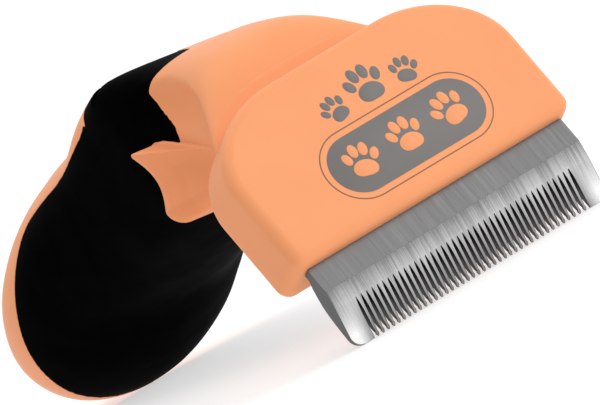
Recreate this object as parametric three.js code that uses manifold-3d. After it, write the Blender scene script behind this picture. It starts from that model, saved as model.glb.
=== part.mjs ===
// Deshedding tool: a hand-held grooming comb with a wide toothed steel blade, a flat head and an ovoid palm grip.
// Millimetres, +Z up. The pieces are drawn in the head's own frame (X across the blade, Y from the head's front
// face towards the tail, Z from the teeth towards the top of the head, origin at the middle of the front face)
// and the whole group is then tipped so that the tool rests on its teeth and on the underside of the palm grip.
import * as THREE from "three";
import { mergeVertices } from "three/addons/utils/BufferGeometryUtils.js";
import Module from "manifold-3d";

// ---------------------------------------------------------------- driving dimensions
const GAP = 0.3; // clearance between touching pieces
const HEAD_W = 72.6; // head width
const HEAD_TOP = 19.3; // top of the head above the face's middle
const HEAD_LOW = -17.8; // bottom of the head
const HEAD_T = 14.0; // head thickness
const HEAD_TOP_RX = 22.5; // top corner, across
const HEAD_TOP_RZ = 17.6; // top corner, down
const HEAD_LOW_R = 2.8; // bottom corner radius
const HEAD_FILLET = 2.6; // rounding of the front edge
const WALL = 2.2; // moulded wall
const BLADE_W = 66.8; // blade width
const TANG_W = 63.0; // the part of the blade that is clamped inside the head
const SLOTS = 41;
const SLOT_PITCH = 1.404;
const SLOT_W = 0.78;
const FACE_Y = 3.6; // front of the clamped plate
const RUBBER = 2.2; // grip skin thickness
const CORE_WALL = 2.4; // shell wall under the skin
const BADGE_R = 6.7; // badge: a stadium
const BADGE_HALF = 12.4; // badge: half of its straight length
const BADGE_X = 1.8;
const BADGE_Z = -5.6;
const BADGE_T = 0.5; // how deep the badge sits

// ---------------------------------------------------------------- helpers
const wasm = await Module();
wasm.setup();

function solid(geometry, tolerance = 1e-4) {
  let g = geometry.clone();
  g.deleteAttribute("normal");
  g.deleteAttribute("uv");
  g = mergeVertices(g, tolerance);
  return new wasm.Manifold(
    new wasm.Mesh({
      numProp: 3,
      vertProperties: new Float32Array(g.attributes.position.array),
      triVerts: new Uint32Array(g.index.array),
    }),
  );
}
function geometryOf(m) {
  const mesh = m.getMesh();
  const g = new THREE.BufferGeometry();
  g.setAttribute(
    "position",
    new THREE.BufferAttribute(new Float32Array(mesh.vertProperties), 3),
  );
  g.setIndex(new THREE.BufferAttribute(new Uint32Array(mesh.triVerts), 1));
  g.computeVertexNormals();
  return g;
}
// Largest connected body of a solid, so that a sliver left by a cut never counts.
function mainBody(m) {
  const parts = m.decompose();
  let best = parts[0];
  for (const p of parts) if (p.volume() > best.volume()) best = p;
  return best;
}
// A closed skin over rings of points, all with the same count; both ends are closed with a fan.
function skin(rings) {
  const n = rings[0].length;
  const pos = [];
  const idx = [];
  const mid = (r) =>
    r.reduce((s, p) => s.add(p), new THREE.Vector3()).multiplyScalar(1 / n);
  for (const r of rings) for (const p of r) pos.push(p.x, p.y, p.z);
  const first = pos.length / 3;
  const a = mid(rings[0].map((p) => p.clone()));
  const b = mid(rings[rings.length - 1].map((p) => p.clone()));
  pos.push(a.x, a.y, a.z, b.x, b.y, b.z);
  for (let i = 0; i + 1 < rings.length; i++)
    for (let j = 0; j < n; j++) {
      const k = (j + 1) % n;
      const p = i * n + j,
        q = i * n + k,
        r = (i + 1) * n + k,
        s = (i + 1) * n + j;
      idx.push(p, q, r, p, r, s);
    }
  const last = (rings.length - 1) * n;
  for (let j = 0; j < n; j++) {
    const k = (j + 1) % n;
    idx.push(first, k, j);
    idx.push(first + 1, last + j, last + k);
  }
  const g = new THREE.BufferGeometry();
  g.setAttribute(
    "position",
    new THREE.BufferAttribute(new Float32Array(pos), 3),
  );
  g.setIndex(idx);
  const m = solid(g);
  if (m.volume() < 0) {
    for (let i = 0; i < idx.length; i += 3)
      [idx[i + 1], idx[i + 2]] = [idx[i + 2], idx[i + 1]];
    g.setIndex(idx);
    return solid(g);
  }
  return m;
}
// A profile drawn in the Y-Z plane, extruded across X.
function prismYZ(points, halfWidth, x0 = 0) {
  const shape = new THREE.Shape(points.map(([y, z]) => new THREE.Vector2(y, z)));
  const g = new THREE.ExtrudeGeometry(shape, {
    depth: halfWidth * 2,
    bevelEnabled: false,
    curveSegments: 6,
  });
  g.translate(0, 0, -halfWidth);
  g.applyMatrix4(
    new THREE.Matrix4().set(0, 0, 1, x0, 1, 0, 0, 0, 0, 1, 0, 0, 0, 0, 0, 1),
  );
  return solid(g);
}
// A profile drawn in the X-Z plane, extruded along Y from y0 to y1.
function prismXZ(points, y0, y1) {
  const shape = new THREE.Shape(points.map(([x, z]) => new THREE.Vector2(x, z)));
  const g = new THREE.ExtrudeGeometry(shape, {
    depth: y1 - y0,
    bevelEnabled: false,
    curveSegments: 6,
  });
  g.rotateX(Math.PI / 2);
  g.translate(0, y1, 0);
  return solid(g);
}
function cylinder(r, from, to, segments = 16, r2 = r) {
  const a = new THREE.Vector3(...from),
    b = new THREE.Vector3(...to);
  const len = a.distanceTo(b);
  const g = new THREE.CylinderGeometry(r2, r, len, segments);
  g.applyQuaternion(
    new THREE.Quaternion().setFromUnitVectors(
      new THREE.Vector3(0, 1, 0),
      b.clone().sub(a).normalize(),
    ),
  );
  const m = a.add(b).multiplyScalar(0.5);
  g.translate(m.x, m.y, m.z);
  return solid(g);
}
function ellipsoid(c, r, seg = 20) {
  const g = new THREE.SphereGeometry(1, seg, Math.round(seg * 0.7));
  g.scale(r[0], r[1], r[2]);
  g.translate(c[0], c[1], c[2]);
  return solid(g);
}
function hermite(rows, t) {
  const n = rows.length - 1;
  const x = Math.min(Math.max(t, 0), 1) * n;
  const i = Math.min(Math.floor(x), n - 1);
  const f = x - i;
  const at = (k) => rows[Math.min(Math.max(k, 0), n)];
  return rows[0].map((_, c) => {
    const p0 = at(i - 1)[c],
      p1 = at(i)[c],
      p2 = at(i + 1)[c],
      p3 = at(i + 2)[c];
    const m1 = i === 0 ? p2 - p1 : (p2 - p0) / 2;
    const m2 = i === n - 1 ? p2 - p1 : (p3 - p1) / 2;
    const f2 = f * f,
      f3 = f2 * f;
    return (
      (2 * f3 - 3 * f2 + 1) * p1 +
      (f3 - 2 * f2 + f) * m1 +
      (-2 * f3 + 3 * f2) * p2 +
      (f3 - f2) * m2
    );
  });
}

// ---------------------------------------------------------------- head outline
// A point list round the head, seen from the front: two tight bottom corners and two long elliptical top corners.
function headOutline(inset, corner = 7) {
  const w = HEAD_W / 2 - inset,
    hi = HEAD_TOP - inset,
    lo = HEAD_LOW + inset;
  const rl = Math.max(HEAD_LOW_R - inset, 0.25);
  const rx = HEAD_TOP_RX - inset,
    rz = HEAD_TOP_RZ - inset;
  const out = [];
  const arc = (cx, cz, ax, az, a0, a1, k) => {
    for (let i = 0; i <= k; i++) {
      const a = a0 + ((a1 - a0) * i) / k;
      out.push([cx + ax * Math.cos(a), cz + az * Math.sin(a)]);
    }
  };
  arc(w - rl, lo + rl, rl, rl, -Math.PI / 2, 0, 3);
  arc(w - rx, hi - rz, rx, rz, 0, Math.PI / 2, corner);
  arc(-w + rx, hi - rz, rx, rz, Math.PI / 2, Math.PI, corner);
  arc(-w + rl, lo + rl, rl, rl, Math.PI, 1.5 * Math.PI, 3);
  return out;
}
const ringAt = (inset, y) =>
  headOutline(inset).map(([x, z]) => new THREE.Vector3(x, y, z));

function headCup() {
  const rings = [];
  const steps = 4;
  for (let i = 0; i <= steps; i++) {
    const a = (i / steps) * (Math.PI / 2);
    rings.push(
      ringAt(HEAD_FILLET * (1 - Math.sin(a)), HEAD_FILLET * (1 - Math.cos(a))),
    );
  }
  rings.push(ringAt(0, HEAD_T - 0.8));
  rings.push(ringAt(0.5, HEAD_T));
  const hollow = skin([
    ringAt(WALL + 0.6, WALL),
    ringAt(WALL, WALL + 1.2),
    ringAt(WALL, HEAD_T + 3),
  ]);
  return skin(rings).subtract(hollow);
}

// ---------------------------------------------------------------- handle body
// Rows: top y, top z, bottom y, bottom z, half width, squareness of the section.
const HANDLE = [
  [14.3, 18.2, 14.3, -12, 30, 3.4],
  [15.2, 26.8, 17.8, -5.5, 25.2, 2.9],
  [19.4, 34.6, 23, 2.5, 19.4, 2.7],
  [29, 40, 29.6, 10.5, 16.6, 2.8],
  [41, 45, 38, 16.4, 17.4, 3.4],
  [52.6, 50.9, 48, 19.2, 20.2, 5],
  [64, 53.4, 61, 20.2, 20.9, 3.9],
  [79, 56.9, 77.4, 21.4, 22.2, 2.7],
  [93.5, 60, 93, 23.6, 23.9, 2.3],
  [106, 61.8, 104.5, 25, 25.5, 2.1],
  [118, 62, 115.5, 24.1, 26, 2],
  [129.9, 60, 125.6, 23.5, 25.2, 2],
  [140.9, 56, 137.1, 24.7, 21.6, 2],
  [149.3, 50.3, 146.5, 28.2, 15.3, 2],
  [153.4, 45.1, 151.8, 32.2, 8.9, 2],
];
const TAIL = new THREE.Vector3(0, 154.7, 38.4);
// The grip is turned a little about its own length, so that the thumb rest meets the thumb of the right hand.
const TWIST = THREE.MathUtils.degToRad(5.4);
const TWIST_FROM = 14.3;
const TWIST_TO = 53.0;
const TWIST_Z = 35.0;
const RINGS = 30;
const AROUND = 28;

function handlePoint(t, a) {
  const [ty, tz, by, bz, w, n] = hermite(HANDLE, t);
  const cy = (ty + by) / 2,
    cz = (tz + bz) / 2;
  const c = Math.cos(a),
    s = Math.sin(a);
  const pc = Math.sign(c) * Math.pow(Math.abs(c), 2 / n);
  const ps = Math.sign(s) * Math.pow(Math.abs(s), 2 / n);
  return new THREE.Vector3(
    w * pc,
    cy + ((ty - by) / 2) * ps,
    cz + ((tz - bz) / 2) * ps,
  );
}
// The handle skin moved inwards by depth(y); extra > 0 carries the front end on past the head's back plane.
function handleSolid(depth, extra = 0) {
  const grid = [];
  for (let i = 0; i <= RINGS; i++) {
    const ring = [];
    for (let j = 0; j < AROUND; j++)
      ring.push(handlePoint(i / RINGS, (j / AROUND) * Math.PI * 2 + 0.0001));
    grid.push(ring);
  }
  const at = (i, j) =>
    i > RINGS ? TAIL : grid[Math.max(i, 0)][(j + AROUND) % AROUND];
  const rings = grid.map((ring, i) =>
    ring.map((p, j) => {
      const du = at(i, j + 1)
        .clone()
        .sub(at(i, j - 1));
      const dv = at(i + 1, j)
        .clone()
        .sub(at(i - 1, j));
      const nrm = new THREE.Vector3().crossVectors(dv, du).normalize();
      const centre = grid[i][0]
        .clone()
        .add(grid[i][AROUND / 2])
        .multiplyScalar(0.5);
      if (nrm.dot(p.clone().sub(centre)) < 0) nrm.negate();
      return p.clone().addScaledVector(nrm, -depth(p.y));
    }),
  );
  const d = depth(TAIL.y);
  const tail = TAIL.clone().add(
    new THREE.Vector3(0, 0.2, -0.05).normalize().multiplyScalar(0),
  );
  tail.y -= d;
  // the last ring becomes the tail's pole, closed with a fan
  rings.push(
    rings[rings.length - 1].map((p) =>
      tail.clone().add(p.clone().sub(tail).multiplyScalar(0.02)),
    ),
  );
  if (extra > 0)
    rings.unshift(
      rings[0].map((p) => new THREE.Vector3(p.x, p.y - extra, p.z)),
    );
  return skin(rings);
}
const step = (y, y0, y1, a, b) => {
  const f = Math.min(Math.max((y - y0) / (y1 - y0), 0), 1);
  return a + (b - a) * f * f * (3 - 2 * f);
};
const outer = handleSolid(() => 0);
const underSkin = handleSolid(() => RUBBER);
const coreFace = handleSolid(() => RUBBER + GAP);
const cavity = handleSolid(
  (y) => step(y, 30, 46, 2.6, RUBBER + GAP + CORE_WALL),
  6,
);

// Rubber: the band over the thumb rest, and everything below this line on the palm.
const EDGE_FRONT = [
  [47.6, 70],
  [47.4, 51],
  [45, 47.6],
  [40.8, 44.6],
  [38.8, 40.8],
  [39, 36],
];
const EDGE_SIDE = [
  [61.6, 80],
  [61.6, 51.4],
  [63, 50],
  [66, 49.5],
  [74, 49.8],
  [84, 51],
  [94, 52.4],
  [100.5, 52.6],
  [106, 50.4],
  [112, 46.8],
  [119, 42.2],
  [127, 36.8],
  [135, 31.4],
  [143, 26],
  [175, 4.4],
];
// The zone's outline in the Y-Z plane, moved outwards by grow.
function rubberZone(grow) {
  const outline = [
    ...EDGE_FRONT,
    [46.6, 34.9],
    [46.6, -10],
    [175, -10],
    ...EDGE_SIDE.slice().reverse(),
  ];
  const n = outline.length;
  const moved = outline.map((p, i) => {
    const a = outline[(i + n - 1) % n],
      b = outline[(i + 1) % n];
    const d1 = new THREE.Vector2(p[0] - a[0], p[1] - a[1]).normalize();
    const d2 = new THREE.Vector2(b[0] - p[0], b[1] - p[1]).normalize();
    const m = new THREE.Vector2(d1.y + d2.y, -d1.x - d2.x).normalize();
    const k = Math.max(m.x * d1.y - m.y * d1.x, 0.5);
    return [p[0] + (m.x * grow) / k, p[1] + (m.y * grow) / k];
  });
  return prismYZ(moved, 60);
}
const zone = rubberZone(0);
const zoneWide = rubberZone(GAP);

// ---------------------------------------------------------------- finger guard
// A flared flange round the lower half of the neck. Rows: y, half width, lowest z.
const GUARD = [
  [17, 10.5, 4, 14.5],
  [24, 14.2, 8.5, 21.6],
  [30, 16.6, 11.8, 25.8],
  [35, 19.2, 13.8, 29.8],
  [38.5, 21.6, 14.8, 32],
  [41.2, 24.2, 15.3, 33.3],
  [42.4, 25.1, 15.5, 34],
  [43.5, 24.9, 15.8, 34],
  [44.5, 23.6, 17, 33.8],
  [45.5, 19, 20.4, 33.6],
];
function guardRing([y, w, zb, zt]) {
  const pts = [];
  const r = 3.6;
  // each side runs from the top corner down, slightly hollow, to a rounded corner and the flat underside
  const side = (sgn) => {
    const list = [];
    for (let i = 0; i <= 5; i++) {
      const f = i / 5;
      const z = zt + (zb + r - zt) * f;
      const bow = 1 - 0.055 * Math.sin(Math.PI * Math.min(f * 1.05, 1));
      list.push([sgn * w * bow, z]);
    }
    for (let i = 1; i <= 3; i++) {
      const a = (i / 3) * (Math.PI / 2);
      list.push([sgn * (w - r + r * Math.cos(a)), zb + r - r * Math.sin(a)]);
    }
    return list;
  };
  const right = side(1),
    left = side(-1).reverse();
  for (const [x, z] of [...right, ...left]) pts.push(new THREE.Vector3(x, y, z));
  return pts;
}
const guard = skin(GUARD.map(guardRing));

// ---------------------------------------------------------------- split of the shells
const SPLIT = [
  [-20, 6],
  [12, 9],
  [18, 16.4],
  [24, 22.2],
  [30, 26.6],
  [35, 30.6],
  [38.5, 32.8],
  [42, 34.5],
  [47, 35],
  [64, 38],
  [91, 42],
  [104, 43.5],
  [112, 41],
  [119, 37.4],
  [127, 32],
  [135, 26.8],
  [143, 21.6],
  [175, 0],
];
const above = prismYZ(
  [
    ...SPLIT.map(([y, z]) => [y, z + GAP / 2]),
    [170, 110],
    [-20, 110],
  ],
  80,
);
const below = prismYZ(
  [
    ...SPLIT.map(([y, z]) => [y, z - GAP / 2]),
    [170, -60],
    [-20, -60],
  ],
  80,
);

// Screws: position along the handle, with the head on the underside.
const HANDLE_SCREWS = [
  [-11, 58],
  [11, 58],
  [0, 94],
  [0, 124],
];
function splitZ(y) {
  for (let i = 0; i + 1 < SPLIT.length; i++) {
    const [y0, z0] = SPLIT[i],
      [y1, z1] = SPLIT[i + 1];
    if (y >= y0 && y <= y1) return z0 + ((z1 - z0) * (y - y0)) / (y1 - y0);
  }
  return 0;
}
// finger scoops: a long hollow along each side of the neck, rising with it
function scoop(s, g) {
  const e = new THREE.SphereGeometry(1, 22, 16);
  e.scale(9.4 + g, 16.5 + g, 8.2 + g);
  e.rotateX(THREE.MathUtils.degToRad(47));
  e.translate(s * 22.4, 32.0, 36.2);
  return solid(e);
}
const hoodCut = scoop(1, 0).add(scoop(-1, 0));
// the wall behind the scoops follows them inwards, so the cut never breaks through
const behindScoops = handleSolid(() => 0.5)
  .intersect(scoop(1, 2.7).add(scoop(-1, 2.7)))
  .intersect(
    prismYZ(
      [
        [15.2, 14],
        [44, 35.6],
        [46, 60],
        [15.2, 60],
      ],
      40,
    ),
  );
const exposed = outer
  .subtract(cavity)
  .add(behindScoops)
  .subtract(hoodCut)
  .subtract(zoneWide);
const underRubber = coreFace
  .subtract(handleSolid(() => RUBBER + GAP + CORE_WALL + 0.11, 8))
  .intersect(rubberZone(1.3));
let shell = exposed.add(underRubber);
// bosses for the handle screws run from the lower wall to the upper wall
for (const [x, y] of HANDLE_SCREWS) {
  const boss = cylinder(3.9, [x, y, 10], [x, y, 75], 14).intersect(
    handleSolid(() => RUBBER + GAP + 1.0),
  );
  shell = shell.add(boss);
}
// two more bosses at the front end take the screws that hold the neck to the head
const NECK = [
  [-19, -4.5],
  [19, -4.5],
];
for (const [x, z] of NECK)
  shell = shell
    .add(cylinder(3.2, [x, HEAD_T + GAP, z], [x, 21.5, z], 14).intersect(outer))
    .subtract(cylinder(1.6, [x, 10, z], [x, 19.4, z], 12));
let upper = shell.intersect(above);

const frontCut = prismYZ(
  [
    [-30, -60],
    [HEAD_T + GAP, -60],
    [HEAD_T + GAP, 80],
    [-30, 80],
  ],
  90,
);
const guardHollow = cavity;
let lower = shell.add(guard.subtract(guardHollow)).intersect(below);
upper = upper.subtract(frontCut);
lower = lower.subtract(frontCut);
const pieces = [];
const material = (color, roughness, metalness = 0) =>
  new THREE.MeshStandardMaterial({ color, roughness, metalness });
const PEACH = () => material(0xf7a878, 0.32);
const BLACK = () => material(0x050505, 0.7);
const STEEL = () => material(0xc9cbcd, 0.24, 1);
const ZINC = () => material(0x9ea2a6, 0.35, 1);
const GREY = () => material(0x83807c, 0.5);
const DARK = () => material(0x3a3c3e, 0.55);
const BROWN = () => material(0x7c5a44, 0.5);
function twisted(geometry) {
  const p = geometry.attributes.position;
  for (let i = 0; i < p.count; i++) {
    const y = p.getY(i);
    const a = step(y, TWIST_FROM, TWIST_TO, 0, TWIST);
    const x = p.getX(i),
      z = p.getZ(i) - TWIST_Z;
    p.setX(i, x * Math.cos(a) + z * Math.sin(a));
    p.setZ(i, TWIST_Z - x * Math.sin(a) + z * Math.cos(a));
  }
  geometry.computeVertexNormals();
  return geometry;
}
function addPiece(name, m, mat, inGrip = false) {
  const clean = mainBody(
    solid(geometryOf(mainBody(m).asOriginal().simplify(0.02)), 1.5e-3),
  );
  const g = geometryOf(clean);
  const mesh = new THREE.Mesh(inGrip ? twisted(g) : g, mat);
  mesh.name = name;
  pieces.push(mesh);
}

// screw holes and screws of the handle
const screwSolids = [];
HANDLE_SCREWS.forEach(([x, y], i) => {
  // the underside of the core at this place
  const probe = cylinder(0.6, [x, y, -20], [x, y, 90], 8).intersect(coreFace);
  const bb = probe.boundingBox();
  const zLow = (Array.isArray(bb.min) ? bb.min[2] : bb.min.z) + 0.2;
  const zs = splitZ(y);
  const headZ = zLow + 3.3;
  // counterbore for the head, clearance in the lower boss, pilot in the upper boss
  lower = lower
    .subtract(cylinder(3.0, [x, y, zLow - 6], [x, y, headZ], 14))
    .subtract(cylinder(1.7, [x, y, zLow - 6], [x, y, zs + 2], 12));
  upper = upper.subtract(cylinder(1.65, [x, y, zs - 4], [x, y, zs + 9.5], 12));
  const head = cylinder(2.6, [x, y, headZ - GAP - 1.6], [x, y, headZ - GAP], 14);
  const shank = cylinder(1.3, [x, y, headZ - GAP - 0.5], [x, y, zs + 8.6], 12);
  screwSolids.push(["handle_screw_" + (i + 1), head.add(shank)]);
});
addPiece("handle_upper_shell", upper, PEACH(), true);
addPiece("handle_lower_shell", lower, PEACH(), true);

// rubber skins
const rubber = outer.subtract(underSkin);
const thumbBand = prismYZ(
  [
    [20, 38.2],
    [61.3, 44.2],
    [61.3, 90],
    [20, 90],
  ],
  80,
);
const palmBand = prismYZ(
  [
    [20, 37.9],
    [61.6, 43.9],
    [61.7, 90],
    [200, 90],
    [200, -30],
    [20, -30],
  ],
  80,
);
const guardClear = skin(
  GUARD.map(([y, w, z, t]) =>
    guardRing([y + (y > 42 ? GAP : 0), w + GAP, z - GAP, t + GAP]),
  ),
);
addPiece(
  "thumb_rest_skin",
  rubber.intersect(zone).intersect(thumbBand).subtract(guardClear),
  BLACK(),
  true,
);
addPiece(
  "palm_grip_skin",
  rubber.intersect(zone).intersect(palmBand).subtract(guardClear),
  BLACK(),
  true,
);
for (const [name, m] of screwSolids) addPiece(name, m, ZINC(), true);

// ---------------------------------------------------------------- head
const CLAMP_X = [-22, 0, 22];
const CLAMP_Z = -9.5;
const PIN_X = [-12, 12];
const PIN_Z = -9.5;
const CORNER = [
  [-28.6, 2.4],
  [28.6, 2.4],
  [-18, 12],
  [18, 12],
];
let cup = headCup();
// blade mouth: the underside is open behind the front wall
cup = cup.subtract(
  prismYZ(
    [
      [FACE_Y - 0.4, -30],
      [6.4, -30],
      [6.4, -10],
      [FACE_Y - 0.4, -10],
    ],
    TANG_W / 2 + GAP,
  ),
);
for (const [x, z] of CORNER)
  cup = cup.add(
    cylinder(3.1, [x, WALL - 0.5, z], [x, 9.8, z], 14).subtract(
      cylinder(1.2, [x, 4.0, z], [x, 10.5, z], 10),
    ),
  );
const badgeShape = (r, half, n = 12) => {
  const out = [];
  for (let i = 0; i <= n; i++) {
    const a = -Math.PI / 2 + (i / n) * Math.PI;
    out.push([half + r * Math.cos(a), r * Math.sin(a)]);
  }
  for (let i = 0; i <= n; i++) {
    const a = Math.PI / 2 + (i / n) * Math.PI;
    out.push([-half + r * Math.cos(a), r * Math.sin(a)]);
  }
  return out.map(([x, z]) => [x + BADGE_X, z + BADGE_Z]);
};
// badge pocket in the front wall, with an outline ring round it
cup = cup.subtract(prismXZ(badgeShape(BADGE_R + 0.15, BADGE_HALF), -1, BADGE_T));
cup = cup.subtract(
  prismXZ(badgeShape(BADGE_R + 2.0, BADGE_HALF), -1, 0.4).subtract(
    prismXZ(badgeShape(BADGE_R + 1.2, BADGE_HALF), -2, 1),
  ),
);
addPiece("head_front_cover", cup, PEACH());
addPiece(
  "badge_plate",
  prismXZ(badgeShape(BADGE_R - 0.15, BADGE_HALF), 0.02, BADGE_T - 0.08),
  GREY(),
);
addPiece(
  "badge_outline",
  prismXZ(badgeShape(BADGE_R + 1.9, BADGE_HALF), 0.02, 0.34).subtract(
    prismXZ(badgeShape(BADGE_R + 1.3, BADGE_HALF), -1, 1),
  ),
  BROWN(),
);

// rear cover: closes the cup's back, carries the neck
let rear = skin([ringAt(WALL + GAP, 10.2), ringAt(WALL + GAP, HEAD_T - 0.6)]);
rear = rear.subtract(
  prismXZ(
    [
      [-13, -8],
      [13, -8],
      [13, 6],
      [-13, 6],
    ],
    5,
    20,
  ),
);
for (const [x, z] of CORNER)
  rear = rear
    .subtract(cylinder(1.5, [x, 5, z], [x, 20, z], 12))
    .subtract(cylinder(2.7, [x, 11.7, z], [x, 20, z], 14));
for (const [x, z] of NECK)
  rear = rear.subtract(cylinder(1.5, [x, 5, z], [x, 20, z], 12));
// blade seat: two ribs press the clamp bar
for (const x of CLAMP_X)
  rear = rear.subtract(cylinder(2.9, [x, 5, CLAMP_Z], [x, 20, CLAMP_Z], 14));
addPiece("head_rear_cover", rear, PEACH());
CORNER.forEach(([x, z], i) =>
  addPiece(
    "head_screw_" + (i + 1),
    cylinder(2.4, [x, 12.0, z], [x, 13.3, z], 14).add(
      cylinder(0.9, [x, 4.6, z], [x, 12.6, z], 10),
    ),
    ZINC(),
  ),
);

NECK.forEach(([x, z], i) =>
  addPiece(
    "neck_screw_" + (i + 1),
    cylinder(2.6, [x, 8.4, z], [x, 9.9, z], 14).add(
      cylinder(1.2, [x, 9.5, z], [x, 18.6, z], 10),
    ),
    ZINC(),
  ),
);

// ---------------------------------------------------------------- blade
const CREASE_Z = -23.9; // where the flat plate ends and the grinding begins
const TIP_Z = -35.4;
const SLOT_TOP = -27.3;
const bladeProfile = [
  [FACE_Y, -3.0],
  [FACE_Y, CREASE_Z],
  [3.95, -24.3],
  [4.3, -25.4],
  [4.9, -27.2],
  [5.9, -29.2],
  [7.0, -31.4],
  [8.1, -33.5],
  [8.9, TIP_Z],
  [9.35, TIP_Z + 0.1],
  [9.4, -33.0],
  [9.1, -28.6],
  [8.5, -24.9],
  [6.9, -20.8],
  [5.9, -19.3],
  [5.9, -3.0],
];
let blade = prismYZ(bladeProfile, BLADE_W / 2);
// shoulders: the clamped part is narrower
for (const s of [-1, 1])
  blade = blade.subtract(
    prismXZ(
      s > 0
        ? [
            [TANG_W / 2, HEAD_LOW - GAP],
            [50, HEAD_LOW - GAP],
            [50, 0],
            [TANG_W / 2, 0],
          ]
        : [
            [-50, HEAD_LOW - GAP],
            [-TANG_W / 2, HEAD_LOW - GAP],
            [-TANG_W / 2, 0],
            [-50, 0],
          ],
      -5,
      20,
    ),
  );
// rounded lower corners
for (const s of [-1, 1]) {
  const pts = [];
  const k = BLADE_W / 2,
    r = 2.2;
  const zTip = TIP_Z;
  pts.push([s * (k + 1), zTip - 2], [s * (k - r), zTip - 2]);
  for (let i = 0; i <= 4; i++) {
    const a = (i / 4) * (Math.PI / 2);
    pts.push([s * (k - r + r * Math.sin(a)), zTip + r - r * Math.cos(a)]);
  }
  pts.push([s * (k + 1), zTip + r]);
  blade = blade.subtract(prismXZ(s > 0 ? pts : pts.slice().reverse(), -10, 30));
}
let slots = null;
for (let i = 0; i < SLOTS; i++) {
  const x = (i - (SLOTS - 1) / 2) * SLOT_PITCH;
  const zt = SLOT_TOP,
    zb = TIP_Z - 2;
  const w = SLOT_W / 2;
  const m = prismXZ(
    [
      [x - w * 1.25, zb],
      [x + w * 1.25, zb],
      [x + w, zt - 2.6],
      [x + 0.1, zt],
      [x - 0.1, zt],
      [x - w, zt - 2.6],
    ],
    -4,
    20,
  );
  slots = slots ? slots.add(m) : m;
}
blade = blade.subtract(slots);
for (const x of CLAMP_X)
  blade = blade.subtract(cylinder(1.5, [x, 0, CLAMP_Z], [x, 9, CLAMP_Z], 12));
for (const x of PIN_X)
  blade = blade.subtract(cylinder(1.8, [x, 0, PIN_Z], [x, 9, PIN_Z], 12));
addPiece("blade", blade, STEEL());

let bar = prismYZ(
  [
    [6.2, -15.2],
    [8.1, -15.2],
    [8.1, -3.5],
    [6.2, -3.5],
  ],
  BLADE_W / 2 - 3.4,
);
for (const x of CLAMP_X)
  bar = bar.subtract(cylinder(1.5, [x, 0, CLAMP_Z], [x, 9, CLAMP_Z], 12));
for (const x of PIN_X)
  bar = bar.subtract(cylinder(1.8, [x, 0, PIN_Z], [x, 9, PIN_Z], 12));
addPiece("blade_clamp_bar", bar, DARK());
CLAMP_X.forEach((x, i) =>
  addPiece(
    "clamp_screw_" + (i + 1),
    cylinder(2.6, [x, 8.4, CLAMP_Z], [x, 9.9, CLAMP_Z], 14).add(
      cylinder(1.2, [x, 2.6, CLAMP_Z], [x, 9.1, CLAMP_Z], 12),
    ),
    ZINC(),
  ),
);
PIN_X.forEach((x, i) =>
  addPiece(
    "blade_pin_" + (i + 1),
    cylinder(1.5, [x, 2.6, PIN_Z], [x, 9.1, PIN_Z], 12),
    ZINC(),
  ),
);

// ---------------------------------------------------------------- resting attitude
const tool = new THREE.Group();
for (const p of pieces) tool.add(p);
// The tilt at which the teeth and the palm's underside are level, found by halving.
function lows(theta) {
  let front = Infinity,
    rearMin = Infinity;
  const c = Math.cos(theta),
    s = Math.sin(theta);
  for (const p of pieces) {
    const a = p.geometry.attributes.position.array;
    for (let i = 0; i < a.length; i += 3) {
      const z = -a[i + 1] * s + a[i + 2] * c;
      if (a[i + 1] < 60) front = Math.min(front, z);
      else rearMin = Math.min(rearMin, z);
    }
  }
  return [front, rearMin];
}
let lo = 0.2,
  hi = 0.6;
for (let i = 0; i < 40; i++) {
  const mid = (lo + hi) / 2;
  const [f, r] = lows(mid);
  if (r > f) lo = mid;
  else hi = mid;
}
const TILT = (lo + hi) / 2;
tool.rotation.x = -TILT;
tool.updateMatrixWorld(true);
const box = new THREE.Box3().setFromObject(tool, true);
const root = new THREE.Group();
root.add(tool);
tool.position.set(0, -(box.min.y + box.max.y) / 2, -box.min.z);
root.userData.tilt = TILT;

export default root;
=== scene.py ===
import math

import bpy
import numpy as np
from mathutils import Matrix, Vector

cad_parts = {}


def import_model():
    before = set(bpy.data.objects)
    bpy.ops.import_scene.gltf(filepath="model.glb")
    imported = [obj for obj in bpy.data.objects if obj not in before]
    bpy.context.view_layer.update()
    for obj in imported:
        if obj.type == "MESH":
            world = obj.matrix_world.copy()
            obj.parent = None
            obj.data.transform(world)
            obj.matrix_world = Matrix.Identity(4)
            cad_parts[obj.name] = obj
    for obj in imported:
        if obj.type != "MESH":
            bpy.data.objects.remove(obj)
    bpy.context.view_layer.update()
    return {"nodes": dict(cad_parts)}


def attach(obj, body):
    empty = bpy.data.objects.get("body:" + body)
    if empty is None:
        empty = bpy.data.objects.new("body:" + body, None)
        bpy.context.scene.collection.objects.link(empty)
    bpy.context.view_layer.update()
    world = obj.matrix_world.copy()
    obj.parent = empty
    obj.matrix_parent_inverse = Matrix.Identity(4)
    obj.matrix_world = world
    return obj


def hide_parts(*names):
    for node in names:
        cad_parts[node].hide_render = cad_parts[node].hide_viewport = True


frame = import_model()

# ------------------------------------------------------------------ the head's own frame, in millimetres
# X across the blade, Y from the head's front face to the tail, Z from the teeth to the head's top.
TH = math.radians(24.836075664455468)
TY, TZ = -75.5794814863614, 35.962435650558945
C, S = math.cos(TH), math.sin(TH)


def world(p):
    """Points of the head's frame (mm, N by 3) in the row frame, in metres."""
    p = np.asarray(p, float).reshape(-1, 3)
    return np.stack([p[:, 0], p[:, 1] * C + p[:, 2] * S + TY, -p[:, 1] * S + p[:, 2] * C + TZ], 1) / 1000.0


def world_dir(v):
    v = np.asarray(v, float)
    return Vector((v[0], v[1] * C + v[2] * S, -v[1] * S + v[2] * C)).normalized()


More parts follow.
